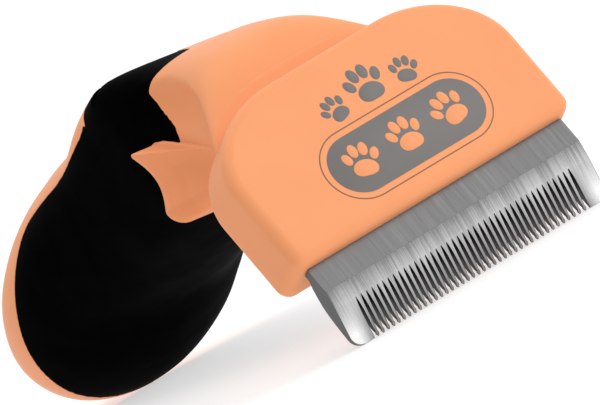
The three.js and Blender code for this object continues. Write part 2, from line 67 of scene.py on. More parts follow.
HEAD_W, HEAD_TOP, HEAD_LOW, HEAD_T = 72.6, 19.3, -17.8, 14.0
TOP_RX, TOP_RZ, LOW_R, FILLET = 22.5, 17.6, 2.8, 2.6
BADGE_R, BADGE_HALF, BADGE_X, BADGE_Z = 6.7, 12.4, 1.8, -5.6
HANDLE = np.array([
    [14.3, 18.2, 14.3, -12.0, 30.0, 3.4],
    [15.2, 27.0, 17.8, -5.5, 25.6, 3.0],
    [19.4, 36.2, 23.0, 2.5, 19.8, 3.0],
    [29.0, 42.8, 29.6, 10.5, 16.8, 3.2],
    [41.0, 48.3, 38.2, 16.4, 17.4, 3.8],
    [52.8, 53.8, 48.4, 19.4, 20.5, 6.4],
    [64.8, 56.2, 61.6, 20.6, 21.2, 5.0],
    [80.4, 58.0, 78.6, 22.0, 22.7, 2.8],
    [95.6, 61.0, 95.2, 24.4, 24.5, 2.3],
    [108.5, 62.8, 107.0, 26.0, 26.2, 2.1],
    [120.6, 63.0, 118.1, 25.1, 26.8, 2.0],
    [132.5, 61.0, 128.2, 24.5, 25.9, 2.0],
    [143.5, 57.0, 139.7, 25.7, 22.2, 2.0],
    [151.9, 51.3, 149.1, 29.2, 15.7, 2.0],
    [156.0, 46.1, 154.4, 33.2, 9.1, 2.0],
    [157.3, 39.5, 157.3, 39.3, 0.4, 2.0],
])
AFTER_TAIL = np.array([156.0, 33.2, 154.4, 46.1, -9.1, 2.0])
TWIST, TWIST_BACK, TWIST_FROM, TWIST_TO, TWIST_Z = math.radians(8.6), math.radians(3.0), 14.3, 50.0, 35.0
GUARD = np.array([
    [12.0, 8.0, 0.5, 9.0],
    [17.0, 10.5, 4.0, 12.6],
    [24.0, 14.2, 8.3, 19.0],
    [30.0, 16.6, 11.0, 22.7],
    [35.0, 19.2, 12.8, 26.6],
    [38.5, 21.6, 13.6, 29.3],
    [41.2, 24.2, 13.9, 31.4],
    [42.4, 25.1, 14.0, 32.4],
    [43.5, 25.3, 14.2, 32.6],
    [47.5, 25.6, 15.0, 32.6],
])
SPLIT = [[-20, 6], [12, 9], [18, 14.4], [24, 19.8], [30, 23.6], [35, 27.5], [38.5, 30.2], [42, 33.0], [47, 34.0], [64, 38], [91, 43], [106, 44.5], [114, 42.0], [121.6, 38.4], [129.6, 33.0], [137.6, 27.8], [145.6, 22.6], [177.6, 1.0]]
EDGE_FRONT = [[57.0, 70], [55.0, 56], [52.6, 53], [47.6, 50], [42.9, 46.6], [40.5, 43.2], [39.9, 40.2], [39.4, 37.6], [38.4, 35.0], [37.2, 32.4], [36.8, 30.0]]
EDGE_SIDE = [[61.8, 80], [61.8, 52.4], [63.2, 50.9], [66.4, 50.2], [75.0, 50.7], [85.6, 51.9], [96.0, 53.4], [102.8, 53.6], [108.4, 51.4], [114.5, 47.8], [121.6, 43.2], [129.6, 37.8], [137.6, 32.4], [145.6, 27.0], [177.6, 5.4]]


# ------------------------------------------------------------------ curves and fields
def hermite(rows, t, after=None):
    """Rows of numbers read at t in 0..1, with smooth slopes."""
    n = len(rows) - 1
    ext = np.vstack([2 * rows[0] - rows[1], rows, after if after is not None else 2 * rows[-1] - rows[-2]])
    x = np.clip(t, 0, 1) * n
    i = np.minimum(x.astype(int), n - 1)
    f = (x - i)[:, None]
    p0, p1, p2, p3 = ext[i], ext[i + 1], ext[i + 2], ext[i + 3]
    m1, m2 = (p2 - p0) / 2, (p3 - p1) / 2
    return (2 * f**3 - 3 * f**2 + 1) * p1 + (f**3 - 2 * f**2 + f) * m1 + (-2 * f**3 + 3 * f**2) * p2 + (f**3 - f**2) * m2


def smooth_line(pts, k=8):
    """An open polyline run through smoothly."""
    pts = np.asarray(pts, float)
    return hermite(pts, np.linspace(0, 1, (len(pts) - 1) * k + 1))


def smax(a, b, k):
    h = np.maximum(k - np.abs(a - b), 0) / k
    return np.maximum(a, b) + h * h * k * 0.25


def smin(a, b, k):
    return -smax(-a, -b, k)


def unit_slope(d, h, low=0.25):
    gx, gy, gz = np.gradient(d, h)
    g = np.sqrt(gx * gx + gy * gy + gz * gz)
    return (d / np.maximum(g, low)).astype(np.float32)


def polygon_field(Y, Z, poly):
    """Signed distance to a closed polygon in the Y-Z plane, below zero inside."""
    poly = np.asarray(poly, float)
    best = np.full(Y.shape, 1e9)
    inside = np.zeros(Y.shape, bool)
    for (ay, az), (by, bz) in zip(poly, np.roll(poly, -1, 0)):
        ey, ez = by - ay, bz - az
        L = ey * ey + ez * ez
        if L < 1e-12:
            continue
        t = np.clip(((Y - ay) * ey + (Z - az) * ez) / L, 0, 1)
        best = np.minimum(best, (Y - ay - t * ey) ** 2 + (Z - az - t * ez) ** 2)
        cross = (az > Z) != (bz > Z)
        if abs(ez) > 1e-12:
            inside ^= cross & (Y < ay + (Z - az) * ey / ez)
    return np.where(inside, -1, 1) * np.sqrt(best)


def handle_field(xs, ys, zs, h):
    """The grip's lofted body as a field of distances."""
    Y, Z = np.meshgrid(ys, zs, indexing="ij")
    M = 420
    tt = np.linspace(0, 1, M)
    R = hermite(HANDLE, tt, AFTER_TAIL)
    cy, cz = (R[:, 0] + R[:, 2]) / 2, (R[:, 1] + R[:, 3]) / 2
    hy, hz = (R[:, 0] - R[:, 2]) / 2, (R[:, 1] - R[:, 3]) / 2
    hl = np.sqrt(hy**2 + hz**2)
    py, pz = Y.ravel(), Z.ravel()
    T = np.full(py.shape, -1.0)
    s_best = np.full(py.shape, 1e9)
    g_prev = None
    for m in range(M):
        g = ((py - cy[m]) * hz[m] - (pz - cz[m]) * hy[m]) / hl[m]
        s = ((py - cy[m]) * hy[m] + (pz - cz[m]) * hz[m]) / hl[m] ** 2
        if g_prev is not None:
            hit = (g_prev * g <= 0) & (np.abs(s) < np.abs(s_best)) & (g_prev != g)
            f = np.where(hit, g_prev / np.where(g_prev != g, g_prev - g, 1), 0)
            T = np.where(hit, tt[m - 1] + f * (tt[m] - tt[m - 1]), T)
            s_best = np.where(hit, s, s_best)
        g_prev = g
    none = T < 0
    A = hermite(HANDLE, np.clip(T, 0, 1), AFTER_TAIL)
    cy, cz = (A[:, 0] + A[:, 2]) / 2, (A[:, 1] + A[:, 3]) / 2
    hy, hz = (A[:, 0] - A[:, 2]) / 2, (A[:, 1] - A[:, 3]) / 2
    hl = np.maximum(np.sqrt(hy**2 + hz**2), 0.05)
    s = ((py - cy) * hy + (pz - cz) * hz) / hl**2
    w, n = np.maximum(A[:, 4], 0.2), A[:, 5]
    far = none & (py > 100)
    shape = (1,) + Y.shape
    s, w, n, hl = [a.reshape(shape).astype(np.float32) for a in (s, w, n, hl)]
    X = np.abs(xs).astype(np.float32)[:, None, None]
    rho = (np.maximum(X / w, 1e-4) ** n + np.maximum(np.abs(s), 1e-4) ** n) ** (1 / n)
    r = np.sqrt(X * X + (s * hl) ** 2)
    d = r - r / np.maximum(rho, 1e-3)
    tail = np.sqrt(X * X + (Y[None] - 157.3) ** 2 + (Z[None] - 39.4) ** 2).astype(np.float32)
    d = np.where(far.reshape(shape), tail, d)
    return unit_slope(np.clip(d, -14, 14), h)


def ellipsoid_field(xs, ys, zs, c, r, turn, h):
    """A tilted ellipsoid, mirrored across X."""
    X = (np.abs(xs) - c[0])[:, None, None]
    Y = (ys - c[1])[None, :, None]
    Z = (zs - c[2])[None, None, :]
    co, si = math.cos(turn), math.sin(turn)
    yl, zl = Y * co + Z * si, -Y * si + Z * co
    k = np.sqrt((X / r[0]) ** 2 + (yl / r[1]) ** 2 + (zl / r[2]) ** 2)
    p = np.sqrt(X * X + yl * yl + zl * zl)
    return unit_slope(np.clip(p - p / np.maximum(k, 1e-3), -12, 12), h)


def guard_field(xs, ys, zs, h):
    g = GUARD
    u = np.interp(ys, g[:, 0], np.linspace(0, 1, len(g)))
    rows = hermite(g, u)
    w, zb, zt = [rows[:, i][None, :, None] for i in (1, 2, 3)]
    X = np.abs(xs)[:, None, None]
    Z = zs[None, None, :]
    r = np.minimum(3.8, 0.32 * (zt - zb))
    f = np.clip((zt - Z) / np.maximum(zt - zb - r, 0.1), 0, 1.2)
    side = X - w * (1 - 0.085 * np.sin(np.pi * np.clip(f, 0, 1)))
    low = zb - Z
    a, b = side + r, low + r
    d = np.minimum(np.maximum(a, b), 0) + np.sqrt(np.maximum(a, 0) ** 2 + np.maximum(b, 0) ** 2) - r
    d = smax(d, Z - zt, 0.5)
    back = ys[None, :, None] - 44.0
    d = smax(d, back, 1.4)
    return unit_slope(np.clip(d, -12, 12), h)


def sample(F, o, h, p):
    """Field and slope at points, from the eight corners round each."""
    q = (p - o) / h
    i = np.clip(np.floor(q).astype(int), 0, np.array(F.shape) - 2)
    f = np.clip(q - i, 0, 1)
    c = {}
    for a in (0, 1):
        for b in (0, 1):
            for e in (0, 1):
                c[a, b, e] = F[i[:, 0] + a, i[:, 1] + b, i[:, 2] + e].astype(float)
    fx, fy, fz = f.T
    lx = {(b, e): c[0, b, e] * (1 - fx) + c[1, b, e] * fx for b in (0, 1) for e in (0, 1)}
    v = (lx[0, 0] * (1 - fy) + lx[1, 0] * fy) * (1 - fz) + (lx[0, 1] * (1 - fy) + lx[1, 1] * fy) * fz
    gx = sum((c[1, b, e] - c[0, b, e]) * (fy if b else 1 - fy) * (fz if e else 1 - fz) for b in (0, 1) for e in (0, 1))
    gy = (lx[1, 0] - lx[0, 0]) * (1 - fz) + (lx[1, 1] - lx[0, 1]) * fz
    gz = (lx[0, 1] * (1 - fy) + lx[1, 1] * fy) - (lx[0, 0] * (1 - fy) + lx[1, 0] * fy)
    return v, np.stack([gx, gy, gz], 1) / h


def surface(F, o, h, creases=()):
    """The zero surface of a field as quads. Points near a crease are pulled on to it, so that an edge runs clean."""
    ins = F < 0
    n = [s - 1 for s in F.shape]
    cnt = np.zeros(n, np.int8)
    for a in (0, 1):
        for b in (0, 1):
            for e in (0, 1):
                cnt += ins[a:a + n[0], b:b + n[1], e:e + n[2]]
    cells = np.argwhere((cnt > 0) & (cnt < 8))
    idx = np.full(n, -1, np.int32)
    idx[cells[:, 0], cells[:, 1], cells[:, 2]] = np.arange(len(cells))
    tot, num = np.zeros((len(cells), 3)), np.zeros(len(cells))
    corner = [np.array(k) for k in np.ndindex(2, 2, 2)]
    for p in corner:
        for ax in range(3):
            if p[ax]:
                continue
            q = p.copy()
            q[ax] = 1
            fa = F[tuple((cells + p).T)].astype(float)
            fb = F[tuple((cells + q).T)].astype(float)
            hit = (fa < 0) != (fb < 0)
            t = np.where(hit, fa / np.where(hit, fa - fb, 1), 0)
            pos = p[None] + t[:, None] * (q - p)[None]
            tot += np.where(hit[:, None], pos, 0)
            num += hit
    P = o + h * (cells + tot / num[:, None])
    lo, hi = o + h * cells, o + h * (cells + 1)
    for _ in range(3):
        v, g = sample(F, o, h, P)
        P = P - g * (np.clip(v, -h, h) / np.maximum((g * g).sum(1), 0.05))[:, None]
        P = np.clip(P, lo - 0.3 * h, hi + 0.3 * h)
    for A, B in creases:
        va, _ = sample(A, o, h, P)
        vb, _ = sample(B, o, h, P)
        near = np.flatnonzero((np.abs(va) < 1.3 * h) & (np.abs(vb) < 1.3 * h))
        Q = P[near]
        for _ in range(6):
            for K in (A, B):
                v, g = sample(K, o, h, Q)
                Q = Q - g * (np.clip(v, -h, h) / np.maximum((g * g).sum(1), 0.05))[:, None]
        own = ((Q >= lo[near] - 0.08 * h) & (Q <= hi[near] + 0.08 * h)).all(1)
        P[near[own]] = Q[own]
    quads = []
    for ax in range(3):
        b, e = (ax + 1) % 3, (ax + 2) % 3
        sl0, sl1 = [slice(None)] * 3, [slice(None)] * 3
        sl0[ax], sl1[ax] = slice(0, -1), slice(1, None)
        a0, a1 = ins[tuple(sl0)], ins[tuple(sl1)]
        e_idx = np.argwhere(a0 != a1)
        ok = (e_idx[:, b] > 0) & (e_idx[:, e] > 0) & (e_idx[:, b] < n[b]) & (e_idx[:, e] < n[e])
        e_idx = e_idx[ok]
        flip = a0[tuple(e_idx.T)]
        four = []
        for db, de in ((-1, -1), (0, -1), (0, 0), (-1, 0)):
            k = e_idx.copy()
            k[:, b] += db
            k[:, e] += de
            four.append(idx[tuple(k.T)])
        q = np.stack(four, 1)
        q[~flip] = q[~flip][:, ::-1]
        quads.append(q)
    return P, np.vstack(quads)


def ease(y, a, b):
    f = np.clip((y - a) / (b - a), 0, 1)
    return f * f * (3 - 2 * f)


def twist(p):
    a = TWIST * ease(p[:, 1], TWIST_FROM, TWIST_TO) - TWIST_BACK * ease(p[:, 1], 58.0, 88.0)
    x, z = p[:, 0], p[:, 2] - TWIST_Z
    return np.stack([x * np.cos(a) + z * np.sin(a), p[:, 1], TWIST_Z - x * np.sin(a) + z * np.cos(a)], 1)


# ------------------------------------------------------------------ meshes
def make(name, pts, faces, material, replaces=(), slot=None, smooth=True, turn=False):
    me = bpy.data.meshes.new(name)
    P = world(twist(np.asarray(pts, float)) if turn else pts)
    me.from_pydata([tuple(p) for p in P], [], [tuple(int(i) for i in f if i >= 0) for f in faces])
    me.validate()
    me.update()
    o = bpy.data.objects.new(name, me)
    bpy.context.collection.objects.link(o)
    for m in material if isinstance(material, (list, tuple)) else [material]:
        me.materials.append(m)
    if smooth:
        me.polygons.foreach_set("use_smooth", [True] * len(me.polygons))
    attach(o, "root")
    if replaces:
        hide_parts(*replaces)
    return o


def keep_body(P, Q, share=0.999):
    """Only the largest connected body, or every body of a fair size, so that no crumb is left."""
    n = len(P)
    lab = np.arange(n)
    for _ in range(400):
        m = lab[Q].min(1)
        new = lab.copy()
        for k in range(Q.shape[1]):
            np.minimum.at(new, Q[:, k], m)
        new = new[new]
        if (new == lab).all():
            break
        lab = new
    ids, cnt = np.unique(lab[Q[:, 0]], return_counts=True)
    Q = Q[np.isin(lab[Q[:, 0]], ids[cnt > share * cnt.max()])]
    used = np.unique(Q)
    back = np.full(n, -1)
    back[used] = np.arange(len(used))
    return P[used], back[Q]


# ------------------------------------------------------------------ materials
def nodes_of(name):
    m = bpy.data.materials.new(name)
    m.use_nodes = True
    nt = m.node_tree
    bsdf = next(n for n in nt.nodes if n.type == "BSDF_PRINCIPLED")
    return m, nt, bsdf


def noise(nt, coord, scale, detail=4.0, rough=0.55, stretch=None):
    n = nt.nodes.new("ShaderNodeTexNoise")
    n.inputs["Scale"].default_value = scale
    n.inputs["Detail"].default_value = detail
    n.inputs["Roughness"].default_value = rough
    if stretch is not None:
        mp = nt.nodes.new("ShaderNodeMapping")
        mp.inputs["Rotation"].default_value = stretch[1]
        mp.inputs["Scale"].default_value = stretch[0]
        nt.links.new(coord, mp.inputs["Vector"])
        coord = mp.outputs["Vector"]
    nt.links.new(coord, n.inputs["Vector"])
    return n.outputs["Fac"]


def ramp(nt, fac, stops):
    r = nt.nodes.new("ShaderNodeValToRGB")
    el = r.color_ramp.elements
    while len(el) < len(stops):
        el.new(0.5)
    for e, (p, c) in zip(el, stops):
        e.position = p
        e.color = c if len(c) == 4 else (*c, 1)
    nt.links.new(fac, r.inputs["Fac"])
    return r.outputs["Color"]


def maprange(nt, fac, a, b, c, d):
    r = nt.nodes.new("ShaderNodeMapRange")
    for k, v in zip(("From Min", "From Max", "To Min", "To Max"), (a, b, c, d)):
        r.inputs[k].default_value = v
    nt.links.new(fac, r.inputs["Value"])
    return r.outputs["Result"]


def bump(nt, bsdf, height, strength, distance, into=None):
    b = nt.nodes.new("ShaderNodeBump")
    b.inputs["Strength"].default_value = strength
    b.inputs["Distance"].default_value = distance
    nt.links.new(height, b.inputs["Height"])
    if into is not None:
        nt.links.new(into, b.inputs["Normal"])
    nt.links.new(b.outputs["Normal"], bsdf.inputs["Normal"])
    return b.outputs["Normal"]


def tex(nt):
    return nt.nodes.new("ShaderNodeTexCoord").outputs["Object"]


def plastic(name, a, b, rough=(0.34, 0.44), spec=0.10, coat=0.0):
    m, nt, p = nodes_of(name)
    co = tex(nt)
    big = noise(nt, co, 38.0, 3.0)
    nt.links.new(ramp(nt, big, [(0.3, a), (0.7, b)]), p.inputs["Base Color"])
    fine = noise(nt, co, 900.0, 3.0)
    nt.links.new(maprange(nt, noise(nt, co, 160.0, 5.0), 0.3, 0.7, *rough), p.inputs["Roughness"])
    n1 = bump(nt, p, fine, 0.05, 0.00006)
    bump(nt, p, noise(nt, co, 60.0, 2.0), 0.06, 0.0006, n1)
    p.inputs["Specular IOR Level"].default_value = spec
    p.inputs["Coat Weight"].default_value = coat
    p.inputs["Coat Roughness"].default_value = 0.18
    return m


def rubber(name):
    m, nt, p = nodes_of(name)
    co = tex(nt)
    nt.links.new(ramp(nt, noise(nt, co, 220.0, 5.0), [(0.35, (0.0004, 0.0004, 0.0005)), (0.75, (0.0012, 0.0012, 0.0014))]), p.inputs["Base Color"])
    nt.links.new(maprange(nt, noise(nt, co, 90.0, 4.0), 0.3, 0.7, 0.52, 0.66), p.inputs["Roughness"])
    grain = noise(nt, co, 2600.0, 2.0)
    n1 = bump(nt, p, grain, 0.25, 0.00008)
    bump(nt, p, noise(nt, co, 320.0, 3.0), 0.08, 0.0002, n1)
    p.inputs["Specular IOR Level"].default_value = 0.004
    p.inputs["Sheen Weight"].default_value = 0.0
    return m


def steel(name, base, rough, brushed, bright=0.0, ends=False):
    """Ground steel: long scratches down the blade, with a softer cloud of polish over them; with ends set, a painted
    reflection band and painted highlights at the tips are laid over the colour.
    """
    m, nt, p = nodes_of(name)
    co = tex(nt)
    p.inputs["Metallic"].default_value = 1.0
    lean = (TH + math.radians(20.5), 0, 0)
    long = noise(nt, co, 1.0, 6.0, 0.62, ((2600.0, 90.0, 60.0), lean))
    wide = noise(nt, co, 1.0, 3.0, 0.5, ((240.0, 14.0, 10.0), lean))
    mix = nt.nodes.new("ShaderNodeMath")
    mix.operation = "MULTIPLY_ADD"
    nt.links.new(long, mix.inputs[0])
    mix.inputs[1].default_value = brushed
    nt.links.new(wide, mix.inputs[2])
    lo, hi = 0.5 + brushed * 0.5 - 0.22, 0.5 + brushed * 0.5 + 0.22
    colour = ramp(nt, maprange(nt, mix.outputs[0], lo, hi, 0, 1), [(0.0, tuple(c * (1 - bright) for c in base)), (1.0, tuple(min(c * (1 + bright), 1) for c in base))])
    if ends:
        # painted reflection: the ground band is made brightest just above the slots and duller at the crease and the
        # tips, as if a softbox were reflected in it
        sep = nt.nodes.new("ShaderNodeSeparateXYZ")
        nt.links.new(co, sep.inputs[0])
        height = maprange(nt, sep.outputs[2], 0.0, 0.013, 0.0, 1.0)
        grey = lambda v: (v, v, v)
        shade = nt.nodes.new("ShaderNodeMix")
        shade.data_type = "RGBA"
        shade.blend_type = "MULTIPLY"
        shade.inputs[0].default_value = 1.0
        nt.links.new(colour, shade.inputs[6])
        nt.links.new(ramp(nt, height, [(0.0, grey(0.52)), (0.25, grey(0.66)), (0.50, grey(0.86)), (0.70, grey(1.0)), (0.85, grey(0.80)), (0.98, grey(0.52))]), shade.inputs[7])
        colour = shade.outputs[2]
        # painted highlight: the two solid ends are made brighter, almost white, towards the tips, standing in for a
        # bright reflection there
        side = nt.nodes.new("ShaderNodeMath")
        side.operation = "ABSOLUTE"
        nt.links.new(sep.outputs[0], side.inputs[0])
        tip_highlight_mask = nt.nodes.new("ShaderNodeMath")
        tip_highlight_mask.operation = "MULTIPLY"
        nt.links.new(maprange(nt, side.outputs[0], 0.0285, 0.0315, 0.0, 1.0), tip_highlight_mask.inputs[0])
        nt.links.new(maprange(nt, sep.outputs[2], 0.0085, 0.0025, 0.0, 1.0), tip_highlight_mask.inputs[1])
        painted_tip_highlight = nt.nodes.new("ShaderNodeMix")
        painted_tip_highlight.data_type = "RGBA"
        nt.links.new(tip_highlight_mask.outputs[0], painted_tip_highlight.inputs[0])
        nt.links.new(colour, painted_tip_highlight.inputs[6])
        painted_tip_highlight.inputs[7].default_value = (0.95, 0.95, 0.95, 1.0)
        colour = painted_tip_highlight.outputs[2]
    nt.links.new(colour, p.inputs["Base Color"])
    nt.links.new(maprange(nt, long, 0.3, 0.7, rough[0], rough[1]), p.inputs["Roughness"])
    bump(nt, p, long, 0.12, 0.00005)
    return m


PEACH = plastic("peach_plastic", (0.90, 0.349, 0.153), (0.94, 0.369, 0.166))
PEACH_IN = plastic("peach_plastic_inside", (0.80, 0.35, 0.16), (0.88, 0.38, 0.18), (0.40, 0.55))
RUBBER = rubber("soft_black_rubber")
STEEL = steel("blade_ground_steel", (0.50, 0.502, 0.506), (0.20, 0.34), 1.6, 0.20, True)
MATT = steel("blade_matt_steel", (0.165, 0.165, 0.168), (0.42, 0.56), 0.35, 0.025)
# slot walls: a near-black steel, partly the unpolished cut face, partly painted shade for the dark inside the narrow
# slots
CUT = steel("blade_cut_walls", (0.075, 0.075, 0.077), (0.38, 0.5), 0.3, 0.1)
ZINC = steel("zinc_plated_steel", (0.55, 0.56, 0.58), (0.30, 0.42), 0.4, 0.1)
GREY = plastic("badge_grey_print", (0.165, 0.153, 0.148), (0.190, 0.176, 0.170), (0.42, 0.52), 0.35)
LINE = plastic("badge_outline_print", (0.235, 0.125, 0.070), (0.27, 0.145, 0.085), (0.40, 0.5), 0.35)
DARK = plastic("clamp_bar_plastic", (0.05, 0.05, 0.055), (0.07, 0.07, 0.075), (0.5, 0.62))

# ------------------------------------------------------------------ grip, neck and guard
STEP = 0.42
xs = np.arange(-33.0, 33.0 + STEP, STEP)
ys = np.arange(13.4, 160.5 + STEP, STEP)
zs = np.arange(-15.0, 67.0 + STEP, STEP)
ORIGIN = np.array([xs[0], ys[0], zs[0]])
Yg, Zg = np.meshgrid(ys, zs, indexing="ij")

D = handle_field(xs, ys, zs, STEP)
SCOOP = ellipsoid_field(xs, ys, zs, (22.4, 32.0, 35.8), (9.4, 16.5, 8.2), math.radians(47), STEP)
Ds = smax(D, -SCOOP, 1.6)
G = guard_field(xs, ys, zs, STEP)
outline = np.vstack([smooth_line(EDGE_FRONT), [[37.0, 28.6], [38.5, 29.9], [41.2, 32.0], [43.5, 33.2], [46.8, 33.4], [46.8, -16], [181, -16]], smooth_line(EDGE_SIDE)[::-1]])
ZONE = polygon_field(Yg, Zg, outline)[None].astype(np.float32)
split = smooth_line(SPLIT)
above = (Zg - np.interp(Yg, split[:, 0], split[:, 1]))[None].astype(np.float32)

body = smin(Ds, G, 1.0)
band = np.maximum(38.05 + (Yg - 20) * 0.1465 - Zg, Yg - 61.45)[None].astype(np.float32)

def clip(P, T, v):
    """The part of a triangle mesh where v is below zero, cut exactly along v = 0."""
    s = v < 0
    k = s[T].sum(1)
    keep = [T[k == 3]]
    one, two = T[k == 1], T[k == 2]
    first = s[one].argmax(1)
    one = np.stack([one[np.arange(len(one)), (first + m) % 3] for m in range(3)], 1)
    first = (~s[two]).argmax(1)
    two = np.stack([two[np.arange(len(two)), (first + m) % 3] for m in range(3)], 1)
    E = np.vstack([one[:, [0, 1]], one[:, [0, 2]], two[:, [0, 1]], two[:, [0, 2]]])
    E = np.sort(E, 1)
    U, inv = np.unique(E, axis=0, return_inverse=True)
    inv = inv.reshape(-1) + len(P)
    a, b = v[U[:, 0]], v[U[:, 1]]
    f = (a / np.where(a != b, a - b, 1))[:, None]
    P = np.vstack([P, P[U[:, 0]] * (1 - f) + P[U[:, 1]] * f])
    n1, n2 = len(one), len(two)
    c01, c02 = inv[:n1], inv[n1:2 * n1]
    d01, d02 = inv[2 * n1:2 * n1 + n2], inv[2 * n1 + n2:]
    keep.append(np.stack([one[:, 0], c01, c02], 1))
    keep.append(np.stack([d01, two[:, 1], two[:, 2]], 1))
    keep.append(np.stack([d01, two[:, 2], d02], 1))
    T = np.vstack(keep)
    used = np.unique(T)
    back = np.full(len(P), -1)
    back[used] = np.arange(len(used))
    return P[used], back[T]


def at_yz(F2, P):
    """A Y-Z field read at points."""
    q = (P[:, 1:] - ORIGIN[1:]) / STEP
    i = np.clip(np.floor(q).astype(int), 0, np.array(F2.shape) - 2)
    f = q - i
    g = lambda a, b: F2[i[:, 0] + a, i[:, 1] + b]
    return (g(0, 0) * (1 - f[:, 0]) + g(1, 0) * f[:, 0]) * (1 - f[:, 1]) + (g(0, 1) * (1 - f[:, 0]) + g(1, 1) * f[:, 0]) * f[:, 1]


def tidy(P, T, v, h, field):
    """Points that lie almost on a coming cut are slid on to it, so that the cut leaves no thin triangles."""
    near = np.abs(v) < 0.22 * h
    if not near.any():
        return P, v
    e = 0.05
    Q = P[near]
    g = np.stack([(field(Q + d) - field(Q - d)) / (2 * e) for d in np.eye(3) * e], 1)
    Q = Q - g * (v[near] / np.maximum((g * g).sum(1), 0.05))[:, None]
    P = P.copy()
    P[near] = Q
    v = v.copy()
    v[near] = 0.0
    return P, v


def skin_piece(name, base, field, cuts, thick, sink, material, node, slot_name):
    """A moulded skin: the base surface cut along smooth lines, with a wall round its border and an inner face."""
    P, Q = base
    T = np.vstack([Q[:, [0, 1, 2]], Q[:, [0, 2, 3]]])
    for cut in cuts:
        v = cut(P)
        P, v = tidy(P, T, v, STEP, cut)
        P, T = clip(P, T, np.where(v == 0, -1e-9, v))
    P, T = keep_body(P, T, 0.08)
    for _ in range(2):
        v, g = sample(field, ORIGIN, STEP, P)
        N = g / np.maximum(np.linalg.norm(g, axis=1), 1e-6)[:, None]
    P = P - N * sink
    edges = np.vstack([T[:, [0, 1]], T[:, [1, 2]], T[:, [2, 0]]])
    key = {(a, b) for a, b in edges.tolist()}
    border = [(a, b) for a, b in key if (b, a) not in key]
    border.sort()
    rim = sorted({a for e in border for a in e})
    n = len(P)
    # a narrow rounded lip round the border, then the wall, then the inner face
    lip = {v: n * 2 + i for i, v in enumerate(rim)}
    inner = P - N * thick
    lip_pts = np.array([P[v] - N[v] * min(0.4, thick * 0.3) for v in rim]).reshape(-1, 3)
    pts = np.vstack([P, inner, lip_pts])
    faces = T.tolist() + [[c + n, b + n, a + n] for a, b, c in T.tolist()]
    for a, b in border:
        faces.append([b, a, lip[a], lip[b]])
        faces.append([lip[b], lip[a], a + n, b + n])
    o = make(name, pts, faces, material, (node,), slot_name, smooth=True, turn=True)
    me = o.data
    Nt = N.copy()
    step_n = twist(P + N * 0.01) - twist(P)
    W = np.stack([step_n[:, 0], step_n[:, 1] * C + step_n[:, 2] * S, -step_n[:, 1] * S + step_n[:, 2] * C], 1)
    W /= np.maximum(np.linalg.norm(W, axis=1), 1e-9)[:, None]
    if len(me.vertices) == len(pts) and len(me.polygons) == len(faces):
        vi = np.zeros(len(me.loops), int)
        me.loops.foreach_get("vertex_index", vi)
        loops = np.zeros((len(me.loops), 3))
        nT = len(T) * 3
        loops[:nT] = W[vi[:nT]]
        me.normals_split_custom_set(loops.tolist())
    print(name, len(faces), "border", len(border))
    return o


above2 = above[0].astype(float)
zone2 = ZONE[0].astype(float)
band2 = band[0].astype(float)
peach_base = surface(body, ORIGIN, STEP)
black_base = surface(Ds, ORIGIN, STEP)


def zone_at(P):
    """The rubber's outline: it runs further forward on the thumb's side than along the middle of the top."""
    Q = P.copy()
    Q[:, 1] += 9.0 * ease(-P[:, 0], -5.0, 9.0) * ease(P[:, 2], 42.0, 47.0) * ease(-P[:, 1], -62.0, -52.0)
    return at_yz(zone2, Q)


by_front = lambda P: 14.3 - P[:, 1]
skin_piece("hood_and_upper_shell", peach_base, body, [by_front, lambda P: -zone_at(P), lambda P: 0.02 - at_yz(above2, P)], 2.0, 0.0, PEACH, "handle_upper_shell", "peach_plastic")
skin_piece("guard_and_lower_shell", peach_base, body, [by_front, lambda P: -zone_at(P), lambda P: 0.02 + at_yz(above2, P)], 0.8, 0.0, PEACH, "handle_lower_shell", "peach_plastic")
skin_piece("thumb_rest_rubber", black_base, Ds, [lambda P: zone_at(P), lambda P: 0.02 + at_yz(band2, P)], 2.2, 0.10, RUBBER, "thumb_rest_skin", "black_rubber")
skin_piece("palm_grip_rubber", black_base, Ds, [lambda P: zone_at(P), lambda P: 0.02 - at_yz(band2, P)], 2.2, 0.10, RUBBER, "palm_grip_skin", "black_rubber")


# ------------------------------------------------------------------ head
def head_outline(inset, k=26, kl=8):
    w, hi, lo = HEAD_W / 2 - inset, HEAD_TOP - inset, HEAD_LOW + inset
    rl = max(LOW_R - inset, 0.2)
    rx, rz = TOP_RX - inset, TOP_RZ - inset
    out = []

    def arc(cx, cz, ax, az, a0, a1, n):
        for i in range(n + 1):
            a = a0 + (a1 - a0) * i / n
            out.append((cx + ax * math.cos(a), cz + az * math.sin(a)))

    def line(p, q, n):
        for i in range(1, n):
            out.append((p[0] + (q[0] - p[0]) * i / n, p[1] + (q[1] - p[1]) * i / n))

    arc(w - rl, lo + rl, rl, rl, -math.pi / 2, 0, kl)
    line((w, lo + rl), (w, hi - rz), 6)
    arc(w - rx, hi - rz, rx, rz, 0, math.pi / 2, k)
    line((w - rx, hi), (-w + rx, hi), 12)
    arc(-w + rx, hi - rz, rx, rz, math.pi / 2, math.pi, k)
    line((-w, hi - rz), (-w, lo + rl), 6)
    arc(-w + rl, lo + rl, rl, rl, math.pi, 1.5 * math.pi, kl)
    line((-w + rl, lo), (w - rl, lo), 24)
    return out


def lofted(rings, close_first=None, close_last=None):
    """Quads between rings of points; an end is closed by shrinking its ring towards a point, or left open."""
    n = len(rings[0])
    pts = [p for r in rings for p in r]
    faces = []
    for i in range(len(rings) - 1):
        for j in range(n):
            k = (j + 1) % n
            faces.append((i * n + j, (i + 1) * n + j, (i + 1) * n + k, i * n + k))
    for end, at in ((close_first, 0), (close_last, len(rings) - 1)):
        if end is None:
            continue
        c = len(pts)
        pts.append(end)
        for j in range(n):
            k = (j + 1) % n
            faces.append((at * n + j, at * n + k, c) if at == 0 else (at * n + k, at * n + j, c))
    return pts, faces


def rings_of(inset, y):
    return [(x, y, z) for x, z in head_outline(inset)]


